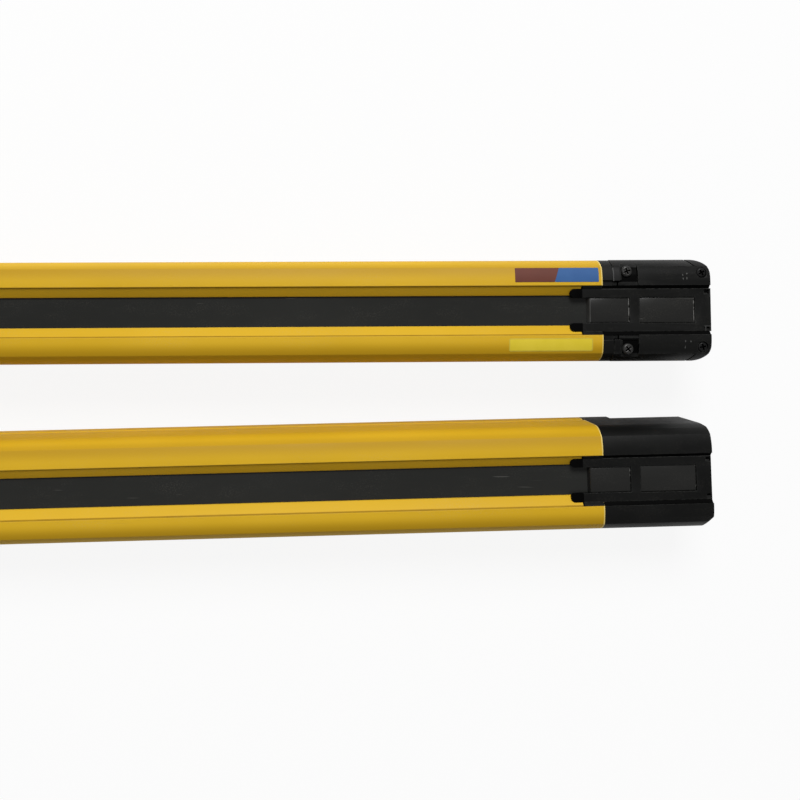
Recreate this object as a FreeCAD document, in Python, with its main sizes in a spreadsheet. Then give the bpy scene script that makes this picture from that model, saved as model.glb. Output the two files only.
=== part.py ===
import FreeCAD, Part
import math
import os
import Sketcher

# Safety light curtain: a receiver bar and a transmitter bar lying side by side on their backs.
# Each bar has its own frame: +X runs to its socket end, +Y across it and +Z out of its front,
# with the origin on the back face at the bar's middle. The bars are then placed in one frame.
# Depths are measured down from the front ridges, and end distances in from a bar's end face.

SIZES = [
    # the two bars
    ("bar_length", 480), ("bar_width", 30.6), ("bar_depth", 27),
    ("bar_pitch", 53.3), ("lay_angle", 0.94), ("lay_slide", 0.5),
    # housing section
    ("back_radius", 2), ("groove_low", 6), ("groove_width", 3), ("groove_depth", 1.8),
    ("shoulder_run", 2.55), ("shoulder_drop", 6.5), ("ridge_width", 5.45), ("ridge_step", 0.4),
    ("slope_run", 2.8), ("window_recess", 2.5), ("lip_thick", 0.6), ("slot_depth", 2.3),
    ("ledge_reach", 1.6), ("ledge_thick", 1.2), ("wall", 1.8), ("cavity_corner", 2),
    ("board_rise", 1.908), ("waist_wall", 3.4), ("port_block_inset", 8.1), ("port_block_top", 6.9),
    ("port_inset", 5.9), ("port_height", 4.3), ("port_radius", 1.3),
    # window and optics
    ("window_thick", 1.5), ("seal_thick", 1), ("fit_gap", 0.1), ("slack", 0.3),
    ("lens_inset", 1.1), ("lens_rise", 0.8), ("beam_pitch", 40), ("first_beam", 30),
    ("last_beam", 10), ("holder_inset", 2.5), ("board_thick", 1.6), ("chip_share", 0.65),
    ("sensor_rise", 1.4), ("emitter_rise", 1.8), ("optics_start", 22), ("optics_stop", 4),
    # ends
    ("end_length", 32.1), ("plate_thick", 1.2), ("end_wall", 2.4), ("round_corner", 4.6),
    ("cut_corner", 0.8), ("collar_length", 9), ("cavity_step", 0.7), ("spigot_slack", 0.4),
    ("spigot_length", 6), ("gasket_thick", 0.8), ("gasket_inset", 0.9), ("gasket_side", 1.4),
    ("gasket_low", 0.8), ("gasket_bar", 0.7), ("screw_seat", 5), ("case_screw_grip", 7),
    ("case_screw_radius", 1.25), ("case_head_radius", 2.4), ("case_head_height", 2.2),
    # side covers and their screws
    ("cover_depth", 4.5), ("cover_gap", 3.1), ("cover_proud", 0.2), ("tab_length", 4.6),
    ("tab_half", 2.2), ("tab_thick", 1.5), ("seam", 0.12),
    ("pocket_gap", 2.5), ("pocket_length", 5), ("pocket_inset", 6.4),
    ("pocket_sink", 1), ("rim_sink", 0.8), ("slit_gap", 1.3), ("slit_width", 0.5), ("slit_sink", 2),
    ("nick_far", 5.8), ("nick_near", 4.2), ("nick_width", 0.4), ("nick_reach", 2.3),
    ("cover_screw_gap", 1.8), ("cover_screw_inset", 3.8),
    ("cover_head_radius", 1.65), ("corner_screw_at", 2.5), ("corner_screw_inset", 4.3),
    ("corner_head_radius", 1.5), ("head_height", 1), ("shank_radius", 0.75), ("shank_length", 8),
    ("shank_bite", 6),
    # centre covers and panes
    ("centre_sink", 1), ("centre_proud", 0.4), ("foot_length", 6), ("foot_overlap", 0.7),
    ("tip_slack", 0.02), ("notch_gap", 0.2), ("notch_width", 1.4), ("notch_far", 1.6),
    ("notch_near", 0.1), ("notch_sink", 1),
    ("inner_pane_reach", 3.7), ("inner_pane_length", 12), ("inner_pane_inset", 0.8),
    ("pane_bridge", 2.8), ("outer_pane_near", 4.4), ("outer_pane_inset", 0.65),
    ("pane_sink", 0.25), ("pane_shelf", 0.5),
    # cable socket
    ("socket_inset", 2), ("socket_length", 12), ("socket_room", 0.6), ("socket_wall", 1.2),
    ("socket_mouth", 9), ("pin_half", 0.35), ("pin_length", 5), ("pin_columns", 4),
]

doc = FreeCAD.newDocument("light_curtain")
sheet = doc.addObject("Spreadsheet::Sheet", "Sizes")
for row, (alias, number) in enumerate(SIZES, start=1):
    sheet.set(f"A{row}", alias)
    sheet.set(f"B{row}", str(number))
    sheet.setAlias(f"B{row}", alias)
doc.recompute()


class Size:
    """A number kept together with the sheet expression that gives it."""

    def __init__(self, value, text):
        self.value = value
        self.text = text

    def __add__(self, other):
        return combined(self, "+", other, lambda a, b: a + b)

    def __sub__(self, other):
        return combined(self, "-", other, lambda a, b: a - b)

    def __mul__(self, other):
        return combined(self, "*", other, lambda a, b: a * b)

    def __truediv__(self, other):
        return combined(self, "/", other, lambda a, b: a / b)


def number(value):
    return Size(value, f"({value})")


def combined(first, sign, second, work):
    if not isinstance(second, Size):
        second = number(second)
    return Size(work(first.value, second.value), f"({first.text} {sign} {second.text})")


def size(alias):
    return Size(float(sheet.get(alias)), f"Sizes.{alias}")


def root(inner):
    return Size(math.sqrt(inner.value), f"sqrt({inner.text})")


def whole(inner):
    return Size(math.floor(inner.value), f"floor({inner.text})")


ZERO = number(0)

# ---------------------------------------------------------------- shared levels and widths
half_length = size("bar_length") / 2
side = size("bar_width") / 2
depth = size("bar_depth")
shoulder_run = size("shoulder_run")
shoulder_drop = size("shoulder_drop")
shoulder_radius = (shoulder_run * shoulder_run + shoulder_drop * shoulder_drop) / (shoulder_run * 2)
ridge_half = side - shoulder_run
channel_half = ridge_half - size("ridge_width")
window_half = channel_half - size("slope_run")
slot_half = window_half + size("slot_depth")
ledge_half = slot_half - size("ledge_reach")
cavity_side = side - size("wall")
waist_side = side - size("waist_wall")
groove_side = side - size("groove_depth")
groove_top = size("groove_low") + size("groove_width")
port_across = side - size("port_inset")
port_block_half = side - size("port_block_inset")

slope_foot = depth - size("window_recess")
slope_top = depth - size("ridge_step")
window_top = slope_foot - size("lip_thick")
window_bottom = window_top - size("window_thick")
ledge_top = window_bottom - size("seal_thick")
ledge_bottom = ledge_top - size("ledge_thick")
board_bottom = groove_top + size("board_rise")
board_top = board_bottom + size("board_thick")
cavity_floor = size("port_block_top") + size("cavity_step")
cavity_roof = ledge_bottom + size("fit_gap")
cover_floor = depth - size("cover_depth")
centre_top = depth - size("centre_sink")
slope_rate = size("slope_run") / (size("window_recess") - size("ridge_step"))
centre_top_half = window_half + (size("window_recess") - size("centre_sink")) * slope_rate

holder_half = cavity_side - size("cavity_corner") - size("holder_inset")
board_half = cavity_side - size("slack")
cavity_half = holder_half + size("slack")
lens_strip_half = ledge_half - size("slack")
lens_half = window_half - size("lens_inset")
socket_half = holder_half - size("socket_inset")
socket_top = cavity_roof - size("socket_room")

end_length = size("end_length")
window_length = (half_length - end_length) * 2
screw_seat = end_length - size("screw_seat")
cover_start = end_length - size("cover_gap")
pocket_far = cover_start - size("pocket_gap")
pocket_near = pocket_far - size("pocket_length")
pocket_across = side - size("pocket_inset")
cover_screw_at = pocket_far - size("cover_screw_gap")
cover_screw_across = side - size("cover_screw_inset")
corner_screw_at = size("corner_screw_at")
corner_screw_across = side - size("corner_screw_inset")
inner_pane_far = end_length + size("inner_pane_reach")
inner_pane_near = inner_pane_far - size("inner_pane_length")
outer_pane_far = inner_pane_near - size("pane_bridge")
INNER_PANE = (inner_pane_far, inner_pane_near, window_half - size("inner_pane_inset"))
OUTER_PANE = (outer_pane_far, size("outer_pane_near"), window_half - size("outer_pane_inset"))

beam_room = size("bar_length") - size("first_beam") - size("last_beam")
beam_count = whole(beam_room / size("beam_pitch")) + 1
beam_span = (beam_count - 1) * size("beam_pitch")
far_beam = half_length - size("first_beam") - beam_span


# ---------------------------------------------------------------- making features
def plane(body, role):
    return next(item for item in body.Origin.OriginFeatures if item.Role == role)


def bind(feature, name, amount):
    feature.setExpression(name, amount.text)


def new_body(label):
    body = doc.addObject("PartDesign::Body", label)
    body.Label = label
    return body


def new_sketch(body, role, offset, across=ZERO, up=ZERO):
    """A sketch parallel to an origin plane: offset along its normal, moved across and up in it."""
    sketch = body.newObject("Sketcher::SketchObject", "Sketch")
    sketch.AttachmentSupport = (plane(body, role), [""])
    sketch.MapMode = "FlatFace"
    bind(sketch, "AttachmentOffset.Base.x", across)
    bind(sketch, "AttachmentOffset.Base.y", up)
    bind(sketch, "AttachmentOffset.Base.z", offset)
    return sketch


def fix(sketch, kind, references, amount):
    index = sketch.addConstraint(Sketcher.Constraint(kind, *references, amount.value))
    bind(sketch, f"Constraints[{index}]", amount)


def pin_down(sketch, edge, point, corner):
    """Holds one point of an edge at its two distances from the sketch's origin."""
    fix(sketch, "DistanceX", (-1, 1, edge, point), corner[0])
    fix(sketch, "DistanceY", (-1, 1, edge, point), corner[1])


def outline(sketch, corners, arcs=None):
    """A closed outline. arcs maps a corner's index to the radius of the edge that leaves it,
    bulging to the right of the way it runs, or to the left where the radius is below nought."""
    arcs = arcs or {}
    vectors = [FreeCAD.Vector(across.value, up.value, 0) for across, up in corners]
    for index, start in enumerate(vectors):
        following = (index + 1) % len(vectors)
        end = vectors[following]
        if index not in arcs:
            edge = sketch.addGeometry(Part.LineSegment(start, end), False)
            first, last = 1, 2
        else:
            radius = arcs[index]
            chord = end - start
            rise = abs(radius.value) - math.sqrt(radius.value ** 2 - chord.Length ** 2 / 4)
            outward = FreeCAD.Vector(chord.y, -chord.x, 0).normalize()
            middle = (start + end) * 0.5 + outward * math.copysign(rise, radius.value)
            edge = sketch.addGeometry(Part.Arc(start, middle, end), False)
            first, last = (1, 2) if radius.value > 0 else (2, 1)
            fix(sketch, "Radius", (edge,), Size(abs(radius.value), f"abs({radius.text})"))
        pin_down(sketch, edge, first, corners[index])
        pin_down(sketch, edge, last, corners[following])


def circle(sketch, across, up, radius):
    edge = sketch.addGeometry(
        Part.Circle(FreeCAD.Vector(across.value, up.value, 0), FreeCAD.Vector(0, 0, 1), radius.value), False)
    pin_down(sketch, edge, 3, (across, up))
    fix(sketch, "Radius", (edge,), radius)


def eight_sides(sketch, across, up, radius):
    """An eight-sided outline with its corners on a circle, for what a screw's thread fills."""
    sides = 8
    corners = []
    for index in range(sides):
        angle = math.tau * (index + 0.5) / sides
        corners.append((across + radius * math.cos(angle), up + radius * math.sin(angle)))
    outline(sketch, corners)


def pad(body, sketch, length):
    feature = body.newObject("PartDesign::Pad", "Pad")
    feature.Profile = sketch
    bind(feature, "Length", length)
    return feature


def pocket(body, sketch, length, backwards=False):
    feature = body.newObject("PartDesign::Pocket", "Pocket")
    feature.Profile = sketch
    feature.Reversed = backwards
    bind(feature, "Length", length)
    return feature


def block(body, kind, low, high):
    """An AdditiveBox or SubtractiveBox between two corners."""
    feature = body.newObject(f"PartDesign::{kind}Box", "Block")
    for axis, name, start, end in zip("xyz", ("Length", "Width", "Height"), low, high):
        bind(feature, name, end - start)
        bind(feature, f"Placement.Base.{axis}", start)
    return feature


def rod(body, kind, base, radius, length):
    """An AdditiveCylinder or SubtractiveCylinder standing up from base."""
    feature = body.newObject(f"PartDesign::{kind}Cylinder", "Rod")
    bind(feature, "Radius", radius)
    bind(feature, "Height", length)
    for axis, start in zip("xyz", base):
        bind(feature, f"Placement.Base.{axis}", start)
    return feature


def lying_rod(body, kind, base, radius, length):
    """A round pad or pocket that runs from base along +X."""
    along, across, up = base
    sketch = new_sketch(body, "YZ_Plane", along)
    circle(sketch, across, up, radius)
    if kind == "Additive":
        return pad(body, sketch, length)
    return pocket(body, sketch, length, backwards=True)


def mirror(body, originals, role="XZ_Plane"):
    feature = body.newObject("PartDesign::Mirrored", "Mirrored")
    feature.Originals = originals
    feature.MirrorPlane = (plane(body, role), [""])
    body.Tip = feature
    return feature


def row_along(body, originals, role, span, count):
    feature = body.newObject("PartDesign::LinearPattern", "Row")
    feature.Originals = originals
    feature.Direction = (plane(body, role), [""])
    bind(feature, "Length", span)
    bind(feature, "Occurrences", count)
    body.Tip = feature
    return feature


class End:
    """One end of a bar: way is +1 at the socket end and -1 at the plain end."""

    def __init__(self, name, way):
        self.name = name
        self.way = way

    def at(self, distance):
        return (half_length - distance) * self.way

    def span(self, far, near):
        """Low and high X of a stretch from far to near, both measured in from the end face."""
        return sorted((self.at(far), self.at(near)), key=lambda spot: spot.value)


SOCKET = End("socket_end", 1)
PLAIN = End("plain_end", -1)


# ---------------------------------------------------------------- the housing and what slides in it
def housing(label):
    body = new_body(label)
    sketch = new_sketch(body, "YZ_Plane", window_length / -2)
    corner = cavity_side - size("cavity_corner")
    corners = [
        (ZERO, ZERO),
        (side - size("back_radius"), ZERO),
        (side, size("back_radius")),
        (side, size("groove_low")),
        (groove_side, size("groove_low")),
        (groove_side, groove_top),
        (side, groove_top),
        (side, depth - shoulder_drop),
        (ridge_half, depth),
        (channel_half, depth),
        (channel_half, slope_top),
        (window_half, slope_foot),
        (window_half, window_top),
        (slot_half, window_top),
        (slot_half, ledge_top),
        (ledge_half, ledge_top),
        (ledge_half, ledge_bottom),
        (corner, ledge_bottom),
        (cavity_side, ledge_bottom - size("cavity_corner")),
        (cavity_side, board_bottom),
        (waist_side, board_bottom),
        (waist_side, size("port_block_top")),
        (port_block_half, size("port_block_top")),
        (port_block_half, size("wall")),
        (ZERO, size("wall")),
    ]
    outline(sketch, corners, {1: size("back_radius"), 7: shoulder_radius})
    circle(sketch, port_across, size("port_height"), size("port_radius"))
    mirror(body, [pad(body, sketch, window_length)])
    return body


def front_window(label):
    body = new_body(label)
    half = slot_half - size("fit_gap")
    low = (window_length / -2, half * -1, window_bottom)
    block(body, "Additive", low, (window_length / 2, half, window_top))
    return body


def window_seals(label):
    body = new_body(label)
    low = (window_length / -2, ledge_half, ledge_top)
    high = (window_length / 2, slot_half - size("fit_gap"), window_bottom)
    mirror(body, [block(body, "Additive", low, high)])
    return body


def lens_strip(label):
    """One long strip with a square lens at each beam."""
    body = new_body(label)
    low = (PLAIN.at(size("optics_stop")), lens_strip_half * -1, ledge_bottom)
    high = (SOCKET.at(size("optics_start")), lens_strip_half, ledge_top)
    block(body, "Additive", low, high)
    low = (far_beam - lens_half, lens_half * -1, ledge_top)
    high = (far_beam + lens_half, lens_half, ledge_top + size("lens_rise"))
    row_along(body, [block(body, "Additive", low, high)], "X_Axis", beam_span, beam_count)
    return body


def optics_holder(label):
    """Carries the lens strip over the board, with a square shaft at each beam."""
    body = new_body(label)
    low = (PLAIN.at(size("optics_stop")), holder_half * -1, board_top)
    high = (SOCKET.at(size("optics_start")), holder_half, ledge_bottom)
    block(body, "Additive", low, high)
    low = (far_beam - lens_half, lens_half * -1, board_top)
    high = (far_beam + lens_half, lens_half, ledge_bottom)
    row_along(body, [block(body, "Subtractive", low, high)], "X_Axis", beam_span, beam_count)
    return body


def circuit_board(label):
    body = new_body(label)
    sketch = new_sketch(body, "XY_Plane", board_bottom)
    wide = board_half
    narrow = holder_half
    housing_end = window_length / 2
    plain_tip = PLAIN.at(size("optics_stop"))
    socket_tip = SOCKET.at(size("plate_thick") + size("fit_gap"))
    corners = [
        (plain_tip, narrow * -1), (housing_end * -1, narrow * -1), (housing_end * -1, wide * -1),
        (housing_end, wide * -1), (housing_end, narrow * -1), (socket_tip, narrow * -1),
        (socket_tip, narrow), (housing_end, narrow), (housing_end, wide),
        (housing_end * -1, wide), (housing_end * -1, narrow), (plain_tip, narrow),
    ]
    outline(sketch, corners)
    pad(body, sketch, size("board_thick"))
    return body


def light_chips(label, rise):
    """A row of chips on the board, one under each lens."""
    body = new_body(label)
    half = lens_half * size("chip_share")
    low = (far_beam - half, half * -1, board_top)
    high = (far_beam + half, half, board_top + rise)
    row_along(body, [block(body, "Additive", low, high)], "X_Axis", beam_span, beam_count)
    return body


def cable_socket(label):
    """Shell with a mouth that faces out through the end plate, and two rows of pins in it."""
    body = new_body(label)
    wall = size("socket_wall")
    back, front = SOCKET.span(size("fit_gap") + size("socket_length"), size("fit_gap"))
    block(body, "Additive", (back, socket_half * -1, board_top), (front, socket_half, socket_top))
    mouth_half = socket_half - wall
    mouth_low = board_top + wall
    mouth_height = socket_top - wall - mouth_low
    mouth_back = front - size("socket_mouth")
    mouth = (mouth_back, mouth_half * -1, mouth_low)
    block(body, "Subtractive", mouth, (front, mouth_half, mouth_low + mouth_height))
    pitch = mouth_half * 2 / (size("pin_columns") + 1)
    pin = size("pin_half")
    first = pitch - mouth_half
    pins = []
    for quarters in (1, 3):
        level = mouth_low + mouth_height * quarters / 4
        low = (mouth_back, first - pin, level - pin)
        high = (mouth_back + size("pin_length"), first + pin, level + pin)
        pins.append(block(body, "Additive", low, high))
    row_along(body, pins, "Y_Axis", pitch * (size("pin_columns") - 1), size("pin_columns"))
    return body


# ---------------------------------------------------------------- the end cases
def case_outline(sketch):
    """Half of the section that the end cases share with the housing, with the channel closed."""
    corners = [
        (ZERO, ZERO),
        (side - size("back_radius"), ZERO),
        (side, size("back_radius")),
        (side, depth - shoulder_drop),
        (ridge_half, depth),
        (channel_half, depth),
        (channel_half, slope_top),
        (window_half, slope_foot),
        (ZERO, slope_foot),
    ]
    outline(sketch, corners, {1: size("back_radius"), 3: shoulder_radius})


def trim_corner(body, end, way, rounded):
    """Takes one upright corner off the end face, round or at 45 degrees."""
    cut = size("round_corner") if rounded else size("cut_corner")
    sketch = new_sketch(body, "XY_Plane", depth)
    face = end.at(ZERO)
    corners = [(face, side * way), (face - cut * end.way, side * way), (face, (side - cut) * way)]
    outline(sketch, corners, {1: cut * end.way * -way} if rounded else None)
    return pocket(body, sketch, depth)


def end_case(label, end):
    body = new_body(label)
    has_plate = end is SOCKET
    low, high = end.span(end_length, size("plate_thick") if has_plate else ZERO)
    sketch = new_sketch(body, "YZ_Plane", low)
    case_outline(sketch)
    mirror(body, [pad(body, sketch, high - low)])
    low, high = end.span(end_length + size("spigot_length"), end_length)
    half = port_block_half - size("spigot_slack")
    bottom = size("wall") + size("spigot_slack")
    top = size("port_block_top") + size("slack")
    block(body, "Additive", (low, half * -1, bottom), (high, half, top))
    hollow_case(body, end, size("plate_thick") if has_plate else size("end_wall"))

    # groove for the gasket that faces the housing
    sketch = new_sketch(body, "YZ_Plane", end.at(end_length))
    gasket_outline(sketch)
    pocket(body, sketch, size("gasket_thick"), backwards=has_plate)

    # holes for the screws that hold the case to the housing
    low, high = end.span(end_length, ZERO)
    base = (low, port_across, size("port_height"))
    hole = lying_rod(body, "Subtractive", base, size("case_screw_radius") + size("fit_gap"), high - low)
    low, high = end.span(screw_seat, ZERO)
    base = (low, port_across, size("port_height"))
    well = lying_rod(body, "Subtractive", base, size("case_head_radius") + size("fit_gap"), high - low)
    mirror(body, [hole, well])

    if has_plate:
        seat_covers(body)
    else:
        # past its collar the case is cut in along the foot of both sides, for a bracket
        low, high = end.span(end_length - size("collar_length"), ZERO)
        inset = (low, side - size("groove_depth"), ZERO)
        mirror(body, [block(body, "Subtractive", inset, (high, side, size("groove_low")))])
    mirror(body, [trim_corner(body, end, 1, has_plate)])
    return body


def hollow_case(body, end, stop):
    """Room for the board, the holder and the lens strip, and the light's way up to the panes."""
    low, high = end.span(end_length, stop)
    block(body, "Subtractive", (low, cavity_half * -1, cavity_floor), (high, cavity_half, cavity_roof))
    half = lens_strip_half + size("fit_gap") * 2
    roof = ledge_top + size("lens_rise") + size("fit_gap")
    if end is SOCKET:
        stop = size("optics_start") - size("plate_thick")
    low, high = end.span(end_length, stop)
    block(body, "Subtractive", (low, half * -1, ledge_bottom), (high, half, roof))
    shelf = size("pane_shelf")
    for far, near, half in (INNER_PANE, OUTER_PANE):
        if far is inner_pane_far:
            far = end_length + shelf
        low, high = end.span(far - shelf, near + shelf)
        block(body, "Subtractive", (low, (half - shelf) * -1, ledge_bottom), (high, half - shelf, slope_foot))


def seat_covers(body):
    """Cuts the shoulders down for the side covers and the plate's tabs, and bores for their screws."""
    low, high = SOCKET.span(cover_start, ZERO)
    cuts = [block(body, "Subtractive", (low, channel_half, cover_floor), (high, side, depth))]
    low, high = SOCKET.span(end_length, cover_start)
    rim = (low, channel_half, depth - size("rim_sink"))
    cuts.append(block(body, "Subtractive", rim, (high, pocket_across, depth)))
    cuts.append(tab(body, "Subtractive"))
    for at, across in ((cover_screw_at, cover_screw_across), (corner_screw_at, corner_screw_across)):
        sketch = new_sketch(body, "XY_Plane", cover_floor)
        eight_sides(sketch, SOCKET.at(at), across, size("shank_radius") + size("fit_gap") / 2)
        cuts.append(pocket(body, sketch, size("shank_bite")))
    mirror(body, cuts)


def tab(body, kind):
    """The end plate's tab under a side cover, or its seat in the case."""
    low, high = SOCKET.span(size("tab_length"), size("plate_thick"))
    half = size("tab_half")
    corner = (low, corner_screw_across - half, cover_floor - size("tab_thick"))
    return block(body, kind, corner, (high, corner_screw_across + half, cover_floor))


def gasket_outline(sketch):
    half = side - size("gasket_inset")
    low = size("gasket_low")
    bar = size("gasket_bar")
    top = window_bottom + bar
    outline(sketch, [(half * -1, low), (half, low), (half, top), (half * -1, top)])
    half = half - size("gasket_side")
    low = low + bar
    top = window_bottom - size("fit_gap")
    outline(sketch, [(half * -1, low), (half, low), (half, top), (half * -1, top)])


def end_gasket(label, end):
    body = new_body(label)
    low, high = end.span(end_length, end_length - size("gasket_thick"))
    sketch = new_sketch(body, "YZ_Plane", low)
    gasket_outline(sketch)
    pad(body, sketch, high - low)
    return body


def case_screws(label):
    """Four long screws, two through each end case into the housing's screw ports."""
    body = new_body(label)
    across = port_across
    up = size("port_height")
    features = []
    for end in (SOCKET, PLAIN):
        low, high = end.span(end_length + size("case_screw_grip"), screw_seat)
        sketch = new_sketch(body, "YZ_Plane", low)
        eight_sides(sketch, across, up, size("case_screw_radius"))
        features.append(pad(body, sketch, high - low))
        low, high = end.span(screw_seat, screw_seat - size("case_head_height"))
        features.append(lying_rod(body, "Additive", (low, across, up), size("case_head_radius"), high - low))
    mirror(body, features)
    return body


# ---------------------------------------------------------------- covers on the socket end
def shoulder_outline(sketch, way, proud=ZERO):
    """Section of a shoulder block between the channel and the rounded outer side."""
    drop = shoulder_drop - size("cover_depth")
    outer = side - shoulder_radius + root(shoulder_radius * shoulder_radius - drop * drop)
    corners = [
        (channel_half * way, cover_floor),
        ((outer + proud) * way, cover_floor),
        ((ridge_half + proud) * way, depth),
        (channel_half * way, depth),
    ]
    outline(sketch, corners, {1: shoulder_radius * way})


def side_cover(label, way):
    body = new_body(label)

    def cut(far, near, inner, outer, sink):
        low, high = SOCKET.span(far, near)
        inner, outer = sorted((inner * way, outer * way), key=lambda spot: spot.value)
        block(body, "Subtractive", (low, inner, depth - sink), (high, outer, depth))

    low, high = SOCKET.span(cover_start - size("seam"), ZERO)
    sketch = new_sketch(body, "YZ_Plane", low)
    shoulder_outline(sketch, way, size("cover_proud"))
    pad(body, sketch, high - low)
    cut(pocket_far, pocket_near, pocket_across, side, size("pocket_sink"))
    cut(cover_start, pocket_near, channel_half, pocket_across, size("rim_sink"))
    slit = cover_start - size("slit_gap")
    cut(slit, slit - size("slit_width"), channel_half, pocket_across, size("slit_sink"))
    for at, across in ((cover_screw_at, cover_screw_across), (corner_screw_at, corner_screw_across)):
        rod(body, "Subtractive", (SOCKET.at(at), across * way, cover_floor),
            size("shank_radius") + size("fit_gap"), size("cover_depth"))
    well = (SOCKET.at(corner_screw_at), corner_screw_across * way, depth - size("head_height"))
    rod(body, "Subtractive", well, size("corner_head_radius") + size("fit_gap"), size("head_height"))

    # a slanting nick in the outer edge, and the round corner of the end face
    sketch = new_sketch(body, "XY_Plane", depth)
    far = SOCKET.at(size("nick_far"))
    near = SOCKET.at(size("nick_near"))
    inner = (side - size("nick_reach")) * way
    width = size("nick_width")
    outline(sketch, [(far, side * way), (far - width, side * way), (near - width, inner), (near, inner)])
    pocket(body, sketch, size("cover_depth"))
    trim_corner(body, SOCKET, way, True)
    return body


def end_plate(label):
    """Plate over the socket end, open at the cable socket, with a tab under each side cover."""
    body = new_body(label)
    low, high = SOCKET.span(size("plate_thick"), ZERO)
    sketch = new_sketch(body, "YZ_Plane", low)
    case_outline(sketch)
    mirror(body, [pad(body, sketch, high - low)])
    half = socket_half + size("fit_gap")
    opening = (low, half * -1, board_top - size("fit_gap"))
    block(body, "Subtractive", opening, (high, half, socket_top + size("fit_gap")))
    shoulder = block(body, "Subtractive", (low, channel_half, cover_floor), (high, side, depth))
    mirror(body, [shoulder])
    ear = tab(body, "Additive")
    sketch = new_sketch(body, "XY_Plane", cover_floor)
    bore = size("shank_radius") + size("fit_gap") / 2
    eight_sides(sketch, SOCKET.at(corner_screw_at), corner_screw_across, bore)
    mirror(body, [ear, pocket(body, sketch, size("tab_thick"))])
    mirror(body, [trim_corner(body, SOCKET, 1, True)])
    return body


def small_screws(label, at, across, head_radius):
    """A pair of pan-head screws, one on each shoulder."""
    body = new_body(label)
    place = SOCKET.at(at)
    under_head = depth - size("head_height")
    sketch = new_sketch(body, "XY_Plane", under_head - size("shank_length"))
    eight_sides(sketch, place, across, size("shank_radius"))
    shank = pad(body, sketch, size("shank_length"))
    head = rod(body, "Additive", (place, across, under_head), head_radius, size("head_height"))
    mirror(body, [shank, head])
    return body


# ---------------------------------------------------------------- centre covers and panes
def centre_cover(label, end):
    """Cover in the channel's end: two clip feet reach along the window, and two panes sit in it."""
    body = new_body(label)
    near = size("centre_proud") * -1 if end is SOCKET else ZERO
    low, high = end.span(inner_pane_far, near)
    sketch = new_sketch(body, "YZ_Plane", low)
    foot_half = window_half - size("seam")
    top_half = centre_top_half - size("seam")
    outline(sketch, [(foot_half * -1, slope_foot), (foot_half, slope_foot),
                     (top_half, centre_top), (top_half * -1, centre_top)])
    pad(body, sketch, high - low)
    for far, near_edge, half in (INNER_PANE, OUTER_PANE):
        low, high = end.span(far, near_edge)
        block(body, "Subtractive", (low, half * -1, slope_foot), (high, half, centre_top))

    # the feet, with round tips
    tip = inner_pane_far + size("foot_length")
    low, high = end.span(tip, inner_pane_far)
    sketch = new_sketch(body, "YZ_Plane", low)
    inner = window_half - size("foot_overlap")
    outline(sketch, [(inner, slope_foot), (foot_half, slope_foot),
                     (top_half, centre_top), (inner, centre_top)])
    mirror(body, [pad(body, sketch, high - low)])
    sketch = new_sketch(body, "XY_Plane", centre_top)
    tip_radius = (top_half - inner) / 2
    shoulder = end.at(tip - tip_radius)
    corners = [(end.at(tip), inner), (end.at(tip), top_half), (shoulder, top_half), (shoulder, inner)]
    outline(sketch, corners, {2: (tip_radius + size("tip_slack")) * end.way})
    mirror(body, [pocket(body, sketch, centre_top - slope_foot)])

    # small wells beside the end edge
    low, high = end.span(size("notch_far"), size("notch_near"))
    inner = window_half + size("notch_gap")
    outer = inner + size("notch_width")
    floor = centre_top - size("notch_sink")
    mirror(body, [block(body, "Subtractive", (low, inner, floor), (high, outer, centre_top))])
    return body


def pane(label, end, place):
    body = new_body(label)
    gap = size("fit_gap")
    far, near, half = place
    low, high = end.span(far - gap, near + gap)
    half = half - gap
    block(body, "Additive", (low, half * -1, slope_foot), (high, half, centre_top - size("pane_sink")))
    return body


# ---------------------------------------------------------------- the two bars
BAR_CHIPS = {
    "receiver": ("light_sensors", size("sensor_rise")),
    "transmitter": ("light_emitters", size("emitter_rise")),
}


def bar_pieces(bar):
    chips, rise = BAR_CHIPS[bar]
    pieces = [
        housing(f"{bar}_housing"),
        front_window(f"{bar}_front_window"),
        window_seals(f"{bar}_window_seals"),
        lens_strip(f"{bar}_lens_strip"),
        optics_holder(f"{bar}_optics_holder"),
        circuit_board(f"{bar}_circuit_board"),
        light_chips(f"{bar}_{chips}", rise),
        cable_socket(f"{bar}_cable_socket"),
        case_screws(f"{bar}_case_screws"),
        end_plate(f"{bar}_socket_end_plate"),
        side_cover(f"{bar}_left_side_cover", 1),
        side_cover(f"{bar}_right_side_cover", -1),
        small_screws(f"{bar}_cover_screws", cover_screw_at, cover_screw_across,
                     size("cover_head_radius")),
        small_screws(f"{bar}_corner_screws", corner_screw_at, corner_screw_across,
                     size("corner_head_radius")),
    ]
    for end in (SOCKET, PLAIN):
        pieces += [
            end_case(f"{bar}_{end.name}_case", end),
            end_gasket(f"{bar}_{end.name}_gasket", end),
            centre_cover(f"{bar}_{end.name}_centre_cover", end),
            pane(f"{bar}_{end.name}_inner_pane", end, INNER_PANE),
            pane(f"{bar}_{end.name}_outer_pane", end, OUTER_PANE),
        ]
    return pieces


half_pitch = size("bar_pitch") / 2
places = {
    "receiver": (size("lay_slide") / 2, half_pitch, ZERO),
    "transmitter": (size("lay_slide") / -2, half_pitch * -1, size("lay_angle") + 180),
}
nodes = []
for bar, (along, across, turn) in places.items():
    for body in bar_pieces(bar):
        body.Placement = FreeCAD.Placement(FreeCAD.Vector(), FreeCAD.Rotation(FreeCAD.Vector(0, 0, 1), 1))
        bind(body, "Placement.Base.x", along)
        bind(body, "Placement.Base.y", across)
        bind(body, "Placement.Rotation.Angle", turn)
        nodes.append(body)

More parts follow.
